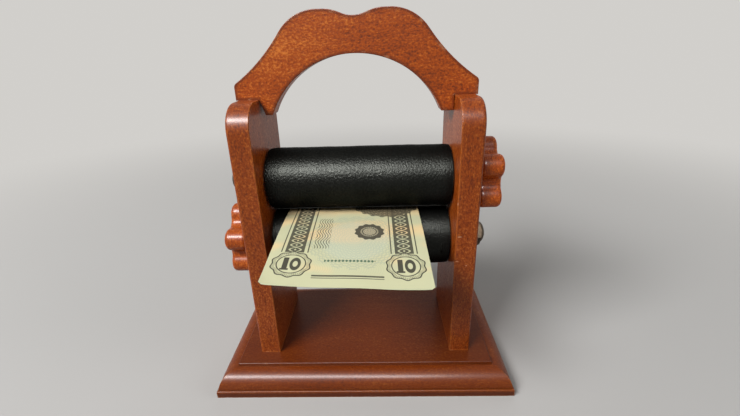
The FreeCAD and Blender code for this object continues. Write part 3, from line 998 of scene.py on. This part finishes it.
class NOTEMACHINE_OT_wood(Operator):
    """Stain and lacquer the base, uprights, arch and knobs, and give the hidden pieces raw wood"""

    bl_idname = "notemachine.wood"
    bl_label = "Wood"

    def execute(self, context):
        settings = context.scene.notemachine_wood
        groups = {"wood": figured_wood_group(), "edges": edge_group()}
        # Painted shade on the base: along its foot, where it meets the floor, and over its top
        # face, under the rollers and the note.
        foot_shade = (-1.0, 2.6, 0.75)
        top_face_shade = (12.6, 14.0, 0.42)
        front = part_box("right_upright")[0][1] / MM
        dings = [
            ((45.4, front, 97.9), (0.5, 0.8, 0.9)),
            ((47.3, front, 81.1), (1.2, 0.8, 0.35)),
            ((46.7, front, 67.8), (0.9, 0.6, 0.3)),
            ((51.3, front, 65.4), (0.4, 0.5, 0.4)),
        ]
        upright = {"grain_axis": "Z", "figure": 0.25, "fleck": 0.50, "edge_share": 0.6}
        knob = {"grain_axis": "Z", "figure": 0.40, "fleck": 0.45, "edge_share": 0.0}
        # Pale edges, on the uprights and the moulding, are painted highlight; dark edges, on the
        # arch and the base's top, are painted shade.
        looks = {
            "base_board": {
                "grain_axis": "X", "figure": 0.30, "fleck": 0.30, "tint": 0.58, "edge_share": 0.7,
                "edge_widths": 0.8, "dark_edges_from": 12.4, "shade_bands": (foot_shade, top_face_shade),
                "lacquer": 0.22,
            },
            "arch": {
                "grain_axis": "X", "figure": 0.60, "fleck": 0.46, "tint": 1.34, "edge_share": 0.9,
                "edge_widths": 3.0, "dark_edges_from": 0.0,
            },
            "left_upright": {**upright, "tint": 0.88},
            "right_upright": {**upright, "tint": 0.94, "dings": dings},
            # The upper knob is stained lighter than the lower one: painted light that makes up for
            # the shade it stands in.
            "upper_knob": {**knob, "tint": 1.75},
            "lower_knob": {**knob, "tint": 1.25},
        }
        for node, look in looks.items():
            dress(wood_material(f"{node}_lacquer", settings, groups, **look), node)
        raw = raw_wood_material(settings, groups)
        dress(raw, "upper_roller_core", "lower_roller_core", "arch_dowels")
        return {"FINISHED"}


class NOTEMACHINE_OT_metal(Operator):
    """Finish the caps, washers, rods, pins, tacks, screws and inserts"""

    bl_idname = "notemachine.metal"
    bl_label = "Metal"

    def execute(self, context):
        settings = context.scene.notemachine_metal
        group = brushed_metal_group()
        bronze = metal_material("dark_bronze", settings.bronze, group, 0.8)
        steel = metal_material("bright_steel", settings.steel, group, 0.3)
        brass = metal_material("turned_brass", settings.brass, group, 0.4)
        for roller in ("upper", "lower"):
            dress(bronze, f"{roller}_cap_nut", f"{roller}_nut_washer", f"{roller}_knob_washer")
            dress(steel, f"{roller}_axle_rod", f"{roller}_core_pin", f"{roller}_cloth_tacks")
            dress(brass, f"{roller}_knob_insert")
        dress(steel, "left_upright_screws", "right_upright_screws")
        return {"FINISHED"}


class NOTEMACHINE_OT_windings(Operator):
    """Wind the satin strip on both rollers"""

    bl_idname = "notemachine.windings"
    bl_label = "Satin windings"

    def execute(self, context):
        settings = context.scene.notemachine_cloth
        material = satin_material(settings)
        leave = crossing_angle()
        for roller, outer_end, phase in (("upper", math.pi - leave, 0.4), ("lower", -leave, 2.6)):
            made = winding_mesh(f"{roller}_winding", settings, roller, outer_end, phase)
            made.data.materials.append(material)
            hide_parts(f"{roller}_cloth")
            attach(made, f"{roller}_roller")
        return {"FINISHED"}


class NOTEMACHINE_OT_crossing(Operator):
    """Lead the satin strip from the lower roller to the upper one, over the note"""

    bl_idname = "notemachine.crossing"
    bl_label = "Cloth crossing"

    def execute(self, context):
        settings = context.scene.notemachine_cloth
        made, along = crossing_mesh("cloth_crossing", settings)
        made.data.materials.append(bpy.data.materials["black_satin"])
        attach(made, "stand")
        return {"FINISHED"}


class NOTEMACHINE_OT_note(Operator):
    """Print the note and let it sag from the nip"""

    bl_idname = "notemachine.note"
    bl_label = "Printed note"

    def execute(self, context):
        settings = context.scene.notemachine_note
        made = note_mesh(settings)
        made.data.materials.append(note_material(settings))
        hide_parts("paper_note")
        start = note_place(settings, nip_height(), 0.0, 0.0)
        end = note_place(settings, nip_height(), 0.0, settings.out)
        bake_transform(made)
        return {"FINISHED"}


class NOTEMACHINE_OT_stage(Operator):
    """Lay the floor, light the room, hang the lamps and set the camera"""

    bl_idname = "notemachine.stage"
    bl_label = "Studio"

    def execute(self, context):
        settings = context.scene.notemachine_studio
        context.scene.view_settings.view_transform = "Standard"
        set_camera()
        lay_floor(settings)
        light_room(settings)
        key = settings.key_power
        gleam = key * settings.gleam
        fill = key * 0.12
        back = key * 0.08
        hang_lamp("key_lamp", (-0.84, -0.72, 1.05), (0.80, 0.36), key)
        hang_lamp("gleam_lamp", (-0.30, -0.83, 1.03), (1.05, 0.30), gleam, lights=False)
        hang_lamp("fill_lamp", (1.05, -0.25, 0.50), (0.60, 0.60), fill, in_gloss=False)
        hang_lamp("back_lamp", (0.25, 0.90, 0.90), (1.0, 0.5), back, in_gloss=False)
        return {"FINISHED"}


class NOTEMACHINE_PT_panel(Panel):
    """The machine's pieces and its studio"""

    bl_label = "Note Machine"
    bl_idname = "NOTEMACHINE_PT_panel"
    bl_space_type = "VIEW_3D"
    bl_region_type = "UI"
    bl_category = "Note Machine"

    def draw(self, context):
        for group, operator in (
            ("notemachine_wood", "notemachine.wood"),
            ("notemachine_metal", "notemachine.metal"),
            ("notemachine_cloth", "notemachine.windings"),
            ("notemachine_cloth", "notemachine.crossing"),
            ("notemachine_note", "notemachine.note"),
            ("notemachine_studio", "notemachine.stage"),
        ):
            box = self.layout.box()
            box.operator(operator)
            settings = getattr(context.scene, group)
            for name in settings.bl_rna.properties.keys():
                if name not in {"rna_type", "name"}:
                    box.prop(settings, name)


SETTINGS = {
    "notemachine_wood": WoodSettings,
    "notemachine_cloth": ClothSettings,
    "notemachine_note": NoteSettings,
    "notemachine_metal": MetalSettings,
    "notemachine_studio": StudioSettings,
}

OPERATORS = (
    NOTEMACHINE_OT_wood,
    NOTEMACHINE_OT_metal,
    NOTEMACHINE_OT_windings,
    NOTEMACHINE_OT_crossing,
    NOTEMACHINE_OT_note,
    NOTEMACHINE_OT_stage,
)


def register():
    """Add the settings, the operators and the panel to Blender."""
    for kind in (*SETTINGS.values(), *OPERATORS, NOTEMACHINE_PT_panel):
        bpy.utils.register_class(kind)
    for name, kind in SETTINGS.items():
        setattr(bpy.types.Scene, name, PointerProperty(type=kind))


def unregister():
    """Take them away again."""
    for name in SETTINGS:
        delattr(bpy.types.Scene, name)
    for kind in reversed((*SETTINGS.values(), *OPERATORS, NOTEMACHINE_PT_panel)):
        bpy.utils.unregister_class(kind)


def main():
    """Make every piece."""
    register()
    bpy.ops.notemachine.wood()
    bpy.ops.notemachine.metal()
    bpy.ops.notemachine.windings()
    bpy.ops.notemachine.crossing()
    bpy.ops.notemachine.note()
    bpy.ops.notemachine.stage()
    bpy.context.view_layer.update()


if __name__ == "__main__":
    main()
